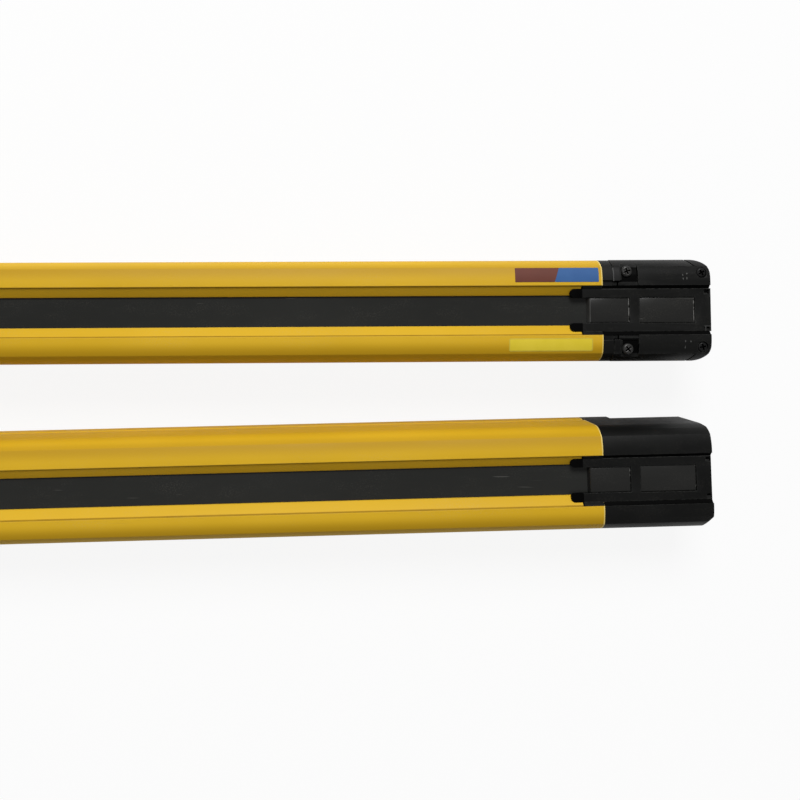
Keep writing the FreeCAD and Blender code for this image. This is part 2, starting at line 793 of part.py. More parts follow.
doc.recompute()
for item in doc.Objects:
    if "Invalid" in item.State or "Error" in item.State:
        raise RuntimeError(f"{item.Name} ({item.Label}) is {item.State}")
for body in nodes:
    if body.Shape.isNull() or not body.Shape.isValid():
        raise RuntimeError(f"{body.Label} has no valid shape")

os.makedirs("parts", exist_ok=True)
for body in nodes:
    body.Shape.exportStep(f"parts/{body.Label}.step")
    print(body.Label, len(body.Shape.Solids), "solids", round(body.Shape.Volume), "mm3")
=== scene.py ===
import math

import bmesh
import bpy
from mathutils import Matrix, Vector


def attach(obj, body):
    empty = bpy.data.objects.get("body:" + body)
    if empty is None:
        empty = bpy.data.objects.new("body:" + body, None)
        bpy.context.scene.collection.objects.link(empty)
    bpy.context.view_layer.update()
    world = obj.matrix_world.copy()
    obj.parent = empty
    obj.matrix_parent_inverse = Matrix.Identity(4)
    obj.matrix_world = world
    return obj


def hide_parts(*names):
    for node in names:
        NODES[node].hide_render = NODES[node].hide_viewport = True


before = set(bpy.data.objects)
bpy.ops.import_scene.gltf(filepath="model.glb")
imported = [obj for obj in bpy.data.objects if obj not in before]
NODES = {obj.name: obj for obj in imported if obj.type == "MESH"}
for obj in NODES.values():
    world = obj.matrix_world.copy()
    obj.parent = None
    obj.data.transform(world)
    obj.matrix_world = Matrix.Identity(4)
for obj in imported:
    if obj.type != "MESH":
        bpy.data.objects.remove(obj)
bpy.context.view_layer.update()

# The pieces' lengths are in millimetres, and MM turns them into metres.
MM = 0.001
END_FACE = 240
RIDGE_TOP = 27
SLIDE, HALF_PITCH = 0.25, 26.65
TRANSMITTER_TURN = math.radians(180.94)

# Each bar's own frame: +X to its socket end, +Y across it, +Z out of its window.
BARS = {
    "receiver": Matrix.Translation((SLIDE * MM, HALF_PITCH * MM, 0)),
    "transmitter": (Matrix.Translation((-SLIDE * MM, -HALF_PITCH * MM, 0))
                    @ Matrix.Rotation(TRANSMITTER_TURN, 4, "Z")),
}


# ---------------------------------------------------------------- node helpers
def node(tree, kind, inputs=None, **settings):
    """A new node, with its settings and its inputs' values or links."""
    made = tree.nodes.new(kind)
    for name, value in settings.items():
        setattr(made, name, value)
    for key, value in (inputs or {}).items():
        if isinstance(value, bpy.types.NodeSocket):
            tree.links.new(value, made.inputs[key])
        else:
            made.inputs[key].default_value = value
    return made


def math_node(tree, operation, first, second=0.5, clamp=False):
    made = node(tree, "ShaderNodeMath", {0: first, 1: second}, operation=operation, use_clamp=clamp)
    return made.outputs[0]


def ramp(tree, factor, low, high):
    """0 where factor is under low, 1 where it is over high, smooth between."""
    made = node(tree, "ShaderNodeMapRange", {"Value": factor, "From Min": low, "From Max": high})
    made.interpolation_type = "SMOOTHSTEP"
    return made.outputs["Result"]


def blend(tree, factor, first, second):
    """Mixes two colours."""
    made = node(tree, "ShaderNodeMix", data_type="RGBA")
    for socket, value in zip((made.inputs[0], made.inputs[6], made.inputs[7]), (factor, first, second)):
        if isinstance(value, bpy.types.NodeSocket):
            tree.links.new(value, socket)
        else:
            socket.default_value = value
    return made.outputs[2]


def new_group(name, inputs, outputs):
    """A node group with number inputs; returns it with its input and output nodes."""
    group = bpy.data.node_groups.new(name, "ShaderNodeTree")
    for label, value in inputs:
        socket = group.interface.new_socket(label, in_out="INPUT", socket_type="NodeSocketFloat")
        socket.default_value = value
    for label, kind in outputs:
        group.interface.new_socket(label, in_out="OUTPUT", socket_type=kind)
    return group, group.nodes.new("NodeGroupInput"), group.nodes.new("NodeGroupOutput")


def effect(tree, group, values, output):
    """Places a group in a material with its own values."""
    made = tree.nodes.new("ShaderNodeGroup")
    made.node_tree = group
    for label, value in values.items():
        made.inputs[label].default_value = value
    return made.outputs[output]


def object_place(tree, stretch=(1, 1, 1), turn=0.0):
    """Places on the object, stretched, and turned about Z, for a texture to use."""
    coordinates = node(tree, "ShaderNodeTexCoord").outputs["Object"]
    mapping = node(tree, "ShaderNodeMapping", {"Vector": coordinates, "Scale": stretch})
    mapping.inputs["Rotation"].default_value[2] = turn
    return mapping.outputs["Vector"]


# ---------------------------------------------------------------- effects that materials share
def make_surface_grain():
    """Fine relief of a moulded or coated skin."""
    group, given, out = new_group(
        "surface_grain", [("Scale", 2000), ("Strength", 0.2), ("Depth", 0.00003), ("Edge Radius", 0.0002)],
        [("Normal", "NodeSocketVector")])
    rounded = node(group, "ShaderNodeBevel", {"Radius": given.outputs["Edge Radius"]}, samples=4)
    noise = node(group, "ShaderNodeTexNoise",
                 {"Vector": object_place(group), "Scale": given.outputs["Scale"], "Detail": 3,
                  "Roughness": 0.55})
    bump = node(group, "ShaderNodeBump",
                {"Strength": given.outputs["Strength"], "Distance": given.outputs["Depth"],
                 "Height": noise.outputs[0], "Normal": rounded.outputs[0]})
    group.links.new(bump.outputs[0], out.inputs["Normal"])
    return group


def make_edge_wear():
    """1 along worn edges, broken up by noise."""
    group, given, out = new_group(
        "edge_wear", [("Radius", 0.0004), ("Breakup", 400), ("Reach", 0.12)], [("Mask", "NodeSocketFloat")])
    rounded = node(group, "ShaderNodeBevel", {"Radius": given.outputs["Radius"]}, samples=4)
    flat = node(group, "ShaderNodeNewGeometry").outputs["True Normal"]
    match = node(group, "ShaderNodeVectorMath", {0: rounded.outputs[0], 1: flat}, operation="DOT_PRODUCT")
    turned = math_node(group, "SUBTRACT", 1.0, match.outputs["Value"], clamp=True)
    noise = node(group, "ShaderNodeTexNoise",
                 {"Vector": object_place(group), "Scale": given.outputs["Breakup"], "Detail": 4}).outputs[0]
    broken = math_node(group, "MULTIPLY", turned, ramp(group, noise, 0.35, 0.65))
    mask = math_node(group, "DIVIDE", broken, given.outputs["Reach"], clamp=True)
    group.links.new(mask, out.inputs["Mask"])
    return group


def make_dust_film():
    """Thin dust: patchy on faces that look up, less on the walls."""
    group, given, out = new_group(
        "dust_film", [("Scale", 60), ("Amount", 0.3)], [("Mask", "NodeSocketFloat")])
    normal = node(group, "ShaderNodeNewGeometry").outputs["Normal"]
    up = node(group, "ShaderNodeSeparateXYZ", {0: normal}).outputs[2]
    place = object_place(group, (1, 2.5, 2.5))
    patches = node(group, "ShaderNodeTexNoise",
                   {"Vector": place, "Scale": given.outputs["Scale"], "Detail": 6,
                    "Roughness": 0.6}).outputs[0]
    specks = node(group, "ShaderNodeTexNoise",
                  {"Vector": object_place(group), "Scale": 2600, "Detail": 2}).outputs[0]
    cover = math_node(group, "MULTIPLY", ramp(group, patches, 0.4, 0.75), ramp(group, specks, 0.45, 0.7))
    settled = math_node(group, "MULTIPLY", cover, ramp(group, up, -0.2, 1.0))
    mask = math_node(group, "MULTIPLY", settled, given.outputs["Amount"], clamp=True)
    group.links.new(mask, out.inputs["Mask"])
    return group


def make_scratch_marks():
    """Thin scratches: two sets nearly along the bar and one across it."""
    group, given, out = new_group(
        "scratch_marks", [("Density", 0.5), ("Scale", 1)], [("Mask", "NodeSocketFloat")])
    total = None
    for turn, stretch in ((0.05, (35, 1700, 300)), (-0.35, (60, 1500, 300)), (1.25, (90, 1300, 300))):
        place = object_place(group, stretch, turn)
        lines = node(group, "ShaderNodeTexNoise",
                     {"Vector": place, "Scale": given.outputs["Scale"], "Detail": 1.5,
                      "Distortion": 0.3}).outputs[0]
        density = math_node(group, "MULTIPLY", given.outputs["Density"], 0.2)
        level = math_node(group, "SUBTRACT", 0.86, density)
        cut = math_node(group, "SUBTRACT", lines, level)
        mark = math_node(group, "MULTIPLY", cut, 25, clamp=True)
        total = mark if total is None else math_node(group, "MAXIMUM", total, mark)
    group.links.new(total, out.inputs["Mask"])
    return group


def make_tone_drift():
    """Slow change of tone, around 0.5."""
    group, given, out = new_group("tone_drift", [("Scale", 25)], [("Mask", "NodeSocketFloat")])
    noise = node(group, "ShaderNodeTexNoise",
                 {"Vector": object_place(group), "Scale": given.outputs["Scale"], "Detail": 5}).outputs[0]
    group.links.new(ramp(group, noise, 0.25, 0.75), out.inputs["Mask"])
    return group


GRAIN = make_surface_grain()
WEAR = make_edge_wear()
DUST = make_dust_film()
SCRATCHES = make_scratch_marks()
DRIFT = make_tone_drift()


# ---------------------------------------------------------------- materials
DUST_TONE = (0.16, 0.15, 0.13, 1)


def new_material(name, gloss=0.5):
    """A new material, with its node tree and its shader."""
    material = bpy.data.materials.new(name)
    material.use_nodes = True
    shader = material.node_tree.nodes["Principled BSDF"]
    shader.inputs["Specular IOR Level"].default_value = gloss
    return material, material.node_tree, shader


def connect(tree, shader, colour, roughness, normal=None):
    """Links a finish's colour, roughness and relief to its shader."""
    for label, socket in (("Base Color", colour), ("Roughness", roughness), ("Normal", normal)):
        if socket is not None:
            tree.links.new(socket, shader.inputs[label])


def spread(tree, factor, low, high):
    """Turns a mask into a number from low to high."""
    return node(tree, "ShaderNodeMapRange",
                {"Value": factor, "To Min": low, "To Max": high}).outputs["Result"]


def grained(tree, scale, strength, depth=0.02, edge=0.2):
    """Fine relief of a skin; depth and edge rounding are in millimetres."""
    return effect(tree, GRAIN, {"Scale": scale, "Strength": strength, "Depth": depth * MM,
                                "Edge Radius": edge * MM}, "Normal")


def marked(tree, mask, amount, colour, tone):
    """Lays a tone over a colour where a mask is set, by the amount given."""
    return blend(tree, math_node(tree, "MULTIPLY", mask, amount), colour, tone)


def yellow_powder_coat(name, crowned):
    """Powder coat; on the crowned part of a ridge, painted shade darkens it as the surface falls away."""
    material, tree, shader = new_material(name, 0.25)
    drift = effect(tree, DRIFT, {"Scale": 22}, "Mask")
    dust = effect(tree, DUST, {"Scale": 45, "Amount": 0.1}, "Mask")
    worn = effect(tree, WEAR, {"Radius": 0.0005, "Breakup": 260, "Reach": 0.25}, "Mask")
    scratches = effect(tree, SCRATCHES, {"Density": 0.35}, "Mask")
    colour = blend(tree, drift, (0.655, 0.392, 0.011, 1), (0.71, 0.43, 0.016, 1))
    colour = marked(tree, worn, 0.45, colour, (0.56, 0.4, 0.13, 1))
    colour = marked(tree, scratches, 0.3, colour, (0.4, 0.25, 0.04, 1))
    colour = blend(tree, dust, colour, (0.5, 0.44, 0.32, 1))
    if crowned:
        # Painted shade: darker where the crown tilts away across the bar, but not on the walls.
        normal = node(tree, "ShaderNodeNewGeometry").outputs["Normal"]
        tilt = math_node(tree, "ABSOLUTE", node(tree, "ShaderNodeSeparateXYZ", {0: normal}).outputs[1])
        wall = math_node(tree, "SUBTRACT", 1.0, ramp(tree, tilt, 0.65, 0.9))
        crown_shade_mask = math_node(tree, "MULTIPLY", ramp(tree, tilt, 0.02, 0.34), wall)
        colour = blend(tree, crown_shade_mask, colour, (0.5, 0.285, 0.004, 1))
    connect(tree, shader, colour, spread(tree, drift, 0.5, 0.62), grained(tree, 1300, 0.25, 0.03, 0.4))
    return material


def black_nylon():
    """Moulded nylon, a little dusty, and grey along its edges: partly wear, partly painted edge glints."""
    material, tree, shader = new_material("black_nylon", 0.15)
    drift = effect(tree, DRIFT, {"Scale": 60}, "Mask")
    dust = effect(tree, DUST, {"Scale": 120, "Amount": 0.06}, "Mask")
    # Grey edges: partly wear, partly painted edge glints.
    worn = effect(tree, WEAR, {"Radius": 0.0003, "Breakup": 900, "Reach": 0.2}, "Mask")
    colour = blend(tree, drift, (0.0048, 0.005, 0.0048, 1), (0.0074, 0.0076, 0.0072, 1))
    colour = marked(tree, worn, 0.22, colour, (0.16, 0.16, 0.152, 1))
    colour = blend(tree, dust, colour, DUST_TONE)
    connect(tree, shader, colour, spread(tree, drift, 0.4, 0.5), grained(tree, 3200, 0.35))
    return material


def smoked_plastic(name, tone, roughness, density):
    """Smoked sheet, scratched by wiping."""
    material, tree, shader = new_material(name, 0.3)
    drift = effect(tree, DRIFT, {"Scale": 14}, "Mask")
    dust = effect(tree, DUST, {"Scale": 90, "Amount": 0.12}, "Mask")
    scratches = effect(tree, SCRATCHES, {"Density": density}, "Mask")
    faded = tuple(1.35 * part for part in tone)
    colour = blend(tree, drift, (*tone, 1), (*faded, 1))
    colour = marked(tree, scratches, 0.4, colour, (0.11, 0.11, 0.105, 1))
    colour = blend(tree, dust, colour, DUST_TONE)
    rough = spread(tree, math_node(tree, "MAXIMUM", drift, scratches), *roughness)
    connect(tree, shader, colour, rough, grained(tree, 500, 0.08))
    return material


def plain_skin(name, dark, light, roughness=(0.5, 0.6), relief=(1500, 0.2), gloss=0.5):
    """A finish with slow drift between two tones, and fine relief of the scale and strength given."""
    material, tree, shader = new_material(name, gloss)
    drift = effect(tree, DRIFT, {"Scale": 180}, "Mask")
    connect(tree, shader, blend(tree, drift, (*dark, 1), (*light, 1)), spread(tree, drift, *roughness),
            grained(tree, *relief, edge=0.1))
    return material


def blackened_steel():
    """Screw heads: black plating, rubbed to metal on the rims."""
    material, tree, shader = new_material("blackened_steel", 0.3)
    drift = effect(tree, DRIFT, {"Scale": 500}, "Mask")
    worn = effect(tree, WEAR, {"Radius": 0.0002, "Breakup": 1500, "Reach": 0.15}, "Mask")
    colour = blend(tree, drift, (0.022, 0.022, 0.021, 1), (0.05, 0.05, 0.048, 1))
    colour = marked(tree, worn, 0.8, colour, (0.3, 0.29, 0.28, 1))
    shader.inputs["Metallic"].default_value = 0.5
    connect(tree, shader, colour, spread(tree, drift, 0.32, 0.46), grained(tree, 4000, 0.2, 0.01, 0.1))
    return material


def rubbed_edge(name, level):
    """Smoked plastic rubbed pale in patches along an edge."""
    material, tree, shader = new_material(name, 0.3)
    patches = node(tree, "ShaderNodeTexNoise",
                   {"Vector": object_place(tree), "Scale": 1100, "Detail": 4}).outputs[0]
    pale = ramp(tree, patches, level, level + 0.2)
    colour = blend(tree, pale, (0.014, 0.014, 0.013, 1), (0.21, 0.205, 0.195, 1))
    connect(tree, shader, colour, spread(tree, pale, 0.3, 0.6))
    return material


def circuit_green():
    """Solder mask with paler copper tracks under it."""
    material, tree, shader = new_material("circuit_green")
    place = object_place(tree, (1, 1, 0))
    tracks = node(tree, "ShaderNodeTexWave",
                  {"Vector": place, "Scale": 190, "Distortion": 2.2, "Detail": 1},
                  bands_direction="Y").outputs["Fac"]
    track = ramp(tree, tracks, 0.7, 0.8)
    colour = blend(tree, track, (0.006, 0.085, 0.03, 1), (0.012, 0.15, 0.055, 1))
    connect(tree, shader, colour, spread(tree, track, 0.3, 0.4), grained(tree, 1800, 0.1, edge=0.1))
    return material


YELLOW = yellow_powder_coat("yellow_powder_coat", False)
# The ridges' crowns take this copy, with painted shade.
RIDGE_SHADE_YELLOW = yellow_powder_coat("yellow_ridge_painted_shade", True)
NYLON = black_nylon()
WINDOW = smoked_plastic("smoked_window", (0.0155, 0.016, 0.0148), (0.1, 0.22), 0.45)
PANE = smoked_plastic("smoked_pane", (0.0125, 0.0125, 0.0118), (0.16, 0.3), 0.5)
STEEL = blackened_steel()
BOARD = circuit_green()

# What the window and the ends close in.
RUBBER = plain_skin("black_rubber", (0.008, 0.008, 0.008), (0.014, 0.014, 0.014), (0.65, 0.8))
LENS = plain_skin("clear_acrylic", (0.5, 0.28, 0.28), (0.56, 0.33, 0.33), (0.05, 0.12))
HOLDER = plain_skin("matt_black_moulding", (0.01, 0.01, 0.01), (0.018, 0.018, 0.018), (0.55, 0.7))
CHIP = plain_skin("moulded_epoxy", (0.02, 0.02, 0.024), (0.035, 0.035, 0.04), (0.3, 0.42))
IVORY = plain_skin("ivory_nylon", (0.6, 0.56, 0.44), (0.68, 0.65, 0.54), (0.38, 0.5))

# Painted shade for the nylon's deep places and the screws' recesses; the left tab painted lighter as painted
# light, with a painted highlight line; rubbed places of the nylon and the panes; a painted highlight on a
# pane's end; the corner screws; edges of the yellow coat, with painted shade in its creases.
SHADE_BLACK = plain_skin("painted_shade_black", (0.0014, 0.0014, 0.0014), (0.002, 0.002, 0.002),
                        relief=(3200, 0.3), gloss=0.03)
LIT_TAB = plain_skin("lit_tab_nylon", (0.009, 0.009, 0.0088), (0.013, 0.013, 0.0125), (0.4, 0.5),
                 (3200, 0.3), 0.2)
BLACK_SCREW = plain_skin("black_screw", (0.006, 0.006, 0.006), (0.01, 0.01, 0.01), (0.35, 0.5),
                         (3200, 0.2), 0.2)
MARKS_AND_HIGHLIGHT = plain_skin("rubbed_mark_and_highlight", (0.03, 0.03, 0.029), (0.075, 0.075, 0.072))
PANE_END_HIGHLIGHT = plain_skin("pane_end_painted_highlight", (0.028, 0.028, 0.027), (0.05, 0.05, 0.048))
RUBBED = {
    "receiver": rubbed_edge("rubbed_edge", 0.36),
    "transmitter": rubbed_edge("faint_rubbed_edge", 0.52),
}
PALE_YELLOW = plain_skin("cut_yellow_edge", (0.71, 0.51, 0.11), (0.79, 0.61, 0.19))
CREASE_SHADE_YELLOW = plain_skin("painted_crease_shade", (0.36, 0.2, 0.005), (0.42, 0.24, 0.007),
                           relief=(1300, 0.2), gloss=0.2)

# The label's two fields, and the sticker with its duller rim.
FILM = {"relief": (900, 0.05)}
BROWN = plain_skin("brown_print", (0.13, 0.042, 0.03), (0.15, 0.05, 0.037), gloss=0.15, **FILM)
BLUE = plain_skin("blue_print", (0.038, 0.11, 0.29), (0.048, 0.128, 0.315), gloss=0.15, **FILM)
STICKER = plain_skin("yellow_film", (0.72, 0.56, 0.03), (0.77, 0.6, 0.045), gloss=0.2, **FILM)
STICKER_RIM = plain_skin("dull_yellow_film", (0.6, 0.46, 0.05), (0.64, 0.49, 0.06), gloss=0.2, **FILM)


# ---------------------------------------------------------------- meshes in a bar's own frame
# Edges stay sharp over the first angle and are broken over the second; facets under the third are flat.
SHARP_ANGLE = math.radians(21)
BEVEL_ANGLE = math.radians(22)
FLAT_ANGLE = math.radians(0.5)
MERGE_GAP = 0.002
CUT_GAP = 0.001


def finish_piece(name, bm, material, replaced=(), tones=()):
    """Turns a bmesh into a piece of the object, smooth but for its real edges."""
    mesh = bpy.data.meshes.new(name)
    bm.to_mesh(mesh)
    bm.free()
    for face in mesh.polygons:
        face.use_smooth = True
    mesh.set_sharp_from_angle(angle=SHARP_ANGLE)
    piece = bpy.data.objects.new(name, mesh)
    bpy.context.collection.objects.link(piece)
    for finish in (material, *tones):
        mesh.materials.append(finish)
    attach(piece, "root")
    if replaced:
        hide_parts(*replaced)


def cad_mesh(bar, node_name):
    """A node's mesh in its bar's own frame, its facets joined into flat faces."""
    bm = bmesh.new()
    bm.from_mesh(NODES[node_name].data)
    bmesh.ops.remove_doubles(bm, verts=bm.verts, dist=MERGE_GAP * MM)
    bmesh.ops.dissolve_limit(bm, angle_limit=FLAT_ANGLE, verts=bm.verts, edges=bm.edges)
    bmesh.ops.transform(bm, matrix=BARS[bar].inverted(), verts=bm.verts)
    return bm


def to_place(bm, bar):
    """Moves a mesh from its bar's own frame to where the bar lies."""
    bmesh.ops.transform(bm, matrix=BARS[bar], verts=bm.verts)


def everything(bm):
    """All the vertices, edges and faces of a mesh."""
    return bm.verts[:] + bm.edges[:] + bm.faces[:]


def slice_across(bm, across):
    """Cuts the faces along the bar, at a distance from its middle line."""
    bmesh.ops.bisect_plane(bm, geom=everything(bm), dist=CUT_GAP * MM,
                           plane_co=(0, across * MM, 0), plane_no=(0, 1, 0))


def slice_along(bm, along):
    """Cuts the faces across the bar, at a distance from its middle."""
    bmesh.ops.bisect_plane(bm, geom=everything(bm), dist=CUT_GAP * MM,
                           plane_co=(along * MM, 0, 0), plane_no=(1, 0, 0))


def break_edges(bm, edges, width):
    """Bevels some edges by a width in millimetres."""
    bmesh.ops.bevel(bm, geom=edges, offset=width * MM, offset_type="OFFSET", affect="EDGES",
                    segments=2, profile=0.5, clamp_overlap=True, material=-1)


def bridge(bm, lower, upper):
    """The faces between two rings of points."""
    count = len(lower)
    return [bm.faces.new((lower[index], lower[(index + 1) % count], upper[(index + 1) % count], upper[index]))
            for index in range(count)]


# ---------------------------------------------------------------- housing, end cases and covers
# The ridges fall away a little towards their outer edges.
RIDGE_HALF = 12.75
CROWN_RUN = 4.4
CROWN_DROP = 0.85
SHOULDER_DROP = 6.5
CROWN_CUTS = 5

# Lines where the tone changes: the channel's edges with painted crease shade, the housing's ends, the screw
# pockets in painted shade, and the ridges' crowns in painted shade.
CHANNEL_HALF = 7.3
CREASE = 0.3
CREASE_LOW = 25.6
CREASE_SLACK = 0.02
COVER_EDGE = 6.42
RIDGE_LOW = 20
HOUSING_END = 32.1
PALE_EDGE = 0.32
POCKET_AT = (21.4, 28.7)
POCKET_ACROSS = (8.6, 12.7)
POCKET_UP = (24, 26.3)

# One corner of the transmitter's plain end case is cut off, less and less towards the back.
CUT_CASE = "transmitter_plain_end_case"
CUT_ALONG, CUT_ACROSS, CUT_SLOPE = 1.75, 1.6, 0.341

# A wing of each centre cover fills the slope above it, past the housing's end; beyond it are the feet.
WING_END, WING_START, FOOT_ROOT = 38.3, 32.2, 37.9
WING_SECTION = ((6.35, 25.9), (7.22, 26.55), (7.22, 26.85), (6.35, 26.2))


def crown(point):
    """Lowers a point of a bar's front onto the crowned ridge."""
    out = min(max(abs(point.y) / MM - RIDGE_HALF + CROWN_RUN, 0), CROWN_RUN) / CROWN_RUN
    height = min(max((point.z / MM - RIDGE_TOP + SHOULDER_DROP) / SHOULDER_DROP, 0), 1)
    return Vector((point.x, point.y, point.z - CROWN_DROP * out * out * height * MM))


def crown_ridges(bm):
    """Cuts the ridges into narrow faces along the bar, then lowers them onto the crown."""
    for side in (1, -1):
        for step in range(CROWN_CUTS + 1):
            slice_across(bm, side * (RIDGE_HALF - CROWN_RUN * step / CROWN_CUTS))
    for vert in bm.verts:
        vert.co = crown(vert.co)


def cut_corner(bm):
    """Cuts one corner of the plain end off by a plane that leans back, and closes the cut."""
    flat = Vector((-CUT_ACROSS, CUT_ALONG, 0)).normalized()
    bmesh.ops.bisect_plane(bm, geom=everything(bm), dist=CUT_GAP * MM, clear_outer=True,
                           plane_co=Vector((-END_FACE, RIDGE_HALF - CUT_ACROSS, RIDGE_TOP)) * MM,
                           plane_no=flat + Vector((0, 0, CUT_SLOPE)))
    bmesh.ops.holes_fill(bm, edges=[edge for edge in bm.edges if edge.is_boundary], sides=0)


def add_wing(bm, way, side):
    """Adds one wing; way is the end that the cover sits at, side the side of the channel."""
    rings = []
    for at in (WING_END, WING_START):
        rings.append([bm.verts.new(Vector((way * (END_FACE - at), across * side, up)) * MM)
                      for across, up in WING_SECTION])
    made = [bm.faces.new(rings[0]), bm.faces.new(rings[1]), *bridge(bm, *rings)]
    bmesh.ops.recalc_face_normals(bm, faces=made)


def place_of(face):
    """A face's distance in from the nearer end face, its distance from the middle line, its height."""
    middle = face.calc_center_median() / MM
    return END_FACE - abs(middle.x), abs(middle.y), middle.z


def in_crease(across, up, inner):
    """Whether a point lies between the channel's slope and the ridge's step."""
    return inner < across < CHANNEL_HALF + CREASE_SLACK and up > CREASE_LOW


def in_pocket(at, across, up):
    """Whether a point of a side cover lies in the pocket round its screw."""
    ranges = ((at, POCKET_AT), (across, POCKET_ACROSS), (up, POCKET_UP))
    return all(low < value < high for value, (low, high) in ranges)


def tone_housing(bm):
    """Pale cut ends, painted shade in the creases, and painted shade on the crowned ridges, darker outwards.
    """
    for side in (1, -1):
        slice_across(bm, side * (CHANNEL_HALF - CREASE))
    for way in (1, -1):
        slice_along(bm, way * (END_FACE - HOUSING_END - PALE_EDGE))
    for face in bm.faces:
        at, across, up = place_of(face)
        if at < HOUSING_END + PALE_EDGE:
            face.material_index = 1
        # Painted shade along the crease at the top of the channel's slope.
        elif in_crease(across, up, CHANNEL_HALF - CREASE):
            face.material_index = 2
        elif across > RIDGE_HALF - CROWN_RUN and up > RIDGE_LOW:
            face.material_index = 3
    return PALE_YELLOW, CREASE_SHADE_YELLOW, RIDGE_SHADE_YELLOW


def tone_centre_cover(bm, way):
    """Clip feet, dark with painted shade."""
    slice_along(bm, way * (END_FACE - FOOT_ROOT))
    for face in bm.faces:
        if place_of(face)[0] > FOOT_ROOT:
            face.material_index = 1
    return (SHADE_BLACK,)


def tone_end_piece(bm, pocketed):
    """Painted shade in the gaps beside the centre cover and in the screw pockets."""
    for side in (1, -1):
        slice_across(bm, side * COVER_EDGE)
    for face in bm.faces:
        at, across, up = place_of(face)
        if in_crease(across, up, COVER_EDGE) or (pocketed and in_pocket(at, across, up)):
            face.material_index = 1
    return (SHADE_BLACK,)


def softened(bar, part, width, material):
    """The CAD piece with its edges broken, as a moulding or an extrusion has them."""
    node_name = f"{bar}_{part}"
    way = 1 if part.startswith("socket") else -1
    bm = cad_mesh(bar, node_name)
    crown_ridges(bm)
    if node_name == CUT_CASE:
        cut_corner(bm)
    if part.endswith("centre_cover"):
        for side in (1, -1):
            add_wing(bm, way, side)
    break_edges(bm, [edge for edge in bm.edges
                     if len(edge.link_faces) == 2 and edge.calc_face_angle(0) > BEVEL_ANGLE], width)
    if part == "housing":
        tones = tone_housing(bm)
    elif part.endswith("centre_cover"):
        tones = tone_centre_cover(bm, way)
    else:
        tones = tone_end_piece(bm, part.endswith("side_cover"))
    to_place(bm, bar)
    finish_piece(f"{node_name}_shell", bm, material, (node_name,), tones)


# ---------------------------------------------------------------- panes
# A pane grows sideways to fill its opening. An inner pane's foot reaches out, down to the window.
PANE_SPREAD = 0.09
PANE_CHAMFER = 0.34
PANE_FOOT = 0.4
WINDOW_TOP = 23.92
SLOPING = 0.3


def pressed_in_pane(bar, part):
    """A pane that fills its opening. One end's chamfer is rubbed; an inner pane's other end leans, with a
    painted highlight on the receiver's.
    """
    node_name = f"{bar}_{part}"
    inner = part.endswith("inner_pane")
    bm = cad_mesh(bar, node_name)
    middle = sum((vert.co for vert in bm.verts), Vector()) / len(bm.verts)
    outward = math.copysign(1, middle.x)
    for vert in bm.verts:
        for axis in (0, 1):
            vert.co[axis] += math.copysign(PANE_SPREAD * MM, vert.co[axis] - middle[axis])
        if inner and vert.co.z < middle.z and vert.co.x * outward < middle.x * outward:
            vert.co.x -= PANE_FOOT * MM * outward
            vert.co.z = WINDOW_TOP * MM
    break_edges(bm, [edge for edge in bm.edges if all(vert.co.z > middle.z for vert in edge.verts)],
                PANE_CHAMFER)
    for face in bm.faces:
        lean = face.normal.x * outward
        if lean > SLOPING and face.normal.z > SLOPING:
            face.material_index = 1
        elif inner and lean < -SLOPING:
            face.material_index = 2
    to_place(bm, bar)
    # The receiver's leaning end takes a painted highlight.
    finish_piece(f"{node_name}_sheet", bm, PANE, (node_name,),
                 (RUBBED[bar], PANE_END_HIGHLIGHT if bar == "receiver" else PANE))


# ---------------------------------------------------------------- labels and moulded marks
# The label's ends, its sides, and the slanting line between its fields.
LABEL_FAR, LABEL_NEAR, LABEL_INNER, LABEL_OUTER = 58, 33.2, 8.35, 12.6
SLANT_INNER, SLANT_OUTER = 46.3, 44.9
LABEL_CORNER = 0.25
LABEL_LOW, LABEL_HIGH = 26.98, 27.06

# The sticker on the other ridge. Each layer is its margin, its corners' radius, underside and top.
STICKER_FAR, STICKER_NEAR, STICKER_LOWER, STICKER_UPPER = 60, 35.2, -12.1, -8.2
STICKER_EDGE_LAYER = (0, 0.6, 26.98, 27.03)
STICKER_FIELD_LAYER = (0.3, 0.4, 27.0, 27.05)

# Each slab is far end, near end, then its two sides; each oval is its middle and its half sizes.
TAB_FAR, TAB_NEAR, TAB_INNER, TAB_OUTER = 28.75, 26.95, 8.7, 12.9
TAB_LOW, TAB_HIGH = 26.95, 27.08
# The strip of painted highlight along the left tab's far edge.
TAB_HIGHLIGHT_LINE = (28.95, 28.7, 8.6, 12.6)
TAB_HIGHLIGHT_TOP = 27.1
NOTCH_LINES = ((1.7, -0.35, -4.95, -4.75), (1.35, 1.15, -6.3, -4.95))
NOTCH_LOW, NOTCH_HIGH = 25.9, 26.04
MARK_OVALS = (
    (8.2, 10.3, 0.16, 0.3), (6.9, 10.7, 0.2, 0.25), (8.1, 9.2, 0.18, 0.35), (7.0, 9.3, 0.17, 0.4),
    (7.8, -9.3, 0.16, 0.32), (6.2, -9.4, 0.18, 0.3), (7.8, -11.1, 0.17, 0.42),
)
MARK_LOW, MARK_HIGH = 26.98, 27.03


def on_front(name, outline, low, high, material):
    """A thin flat shape on the receiver's front; its outline is (distance in from the end, across)."""
    bm = bmesh.new()
    points = [bm.verts.new(Vector((END_FACE - at, across, low)) * MM) for at, across in outline]
    raised = bmesh.ops.extrude_face_region(bm, geom=[bm.faces.new(points)])["geom"]
    top = [item for item in raised if isinstance(item, bmesh.types.BMVert)]
    bmesh.ops.translate(bm, vec=(0, 0, (high - low) * MM), verts=top)
    bmesh.ops.recalc_face_normals(bm, faces=bm.faces)
    crown_ridges(bm)
    to_place(bm, "receiver")
    finish_piece(name, bm, material)


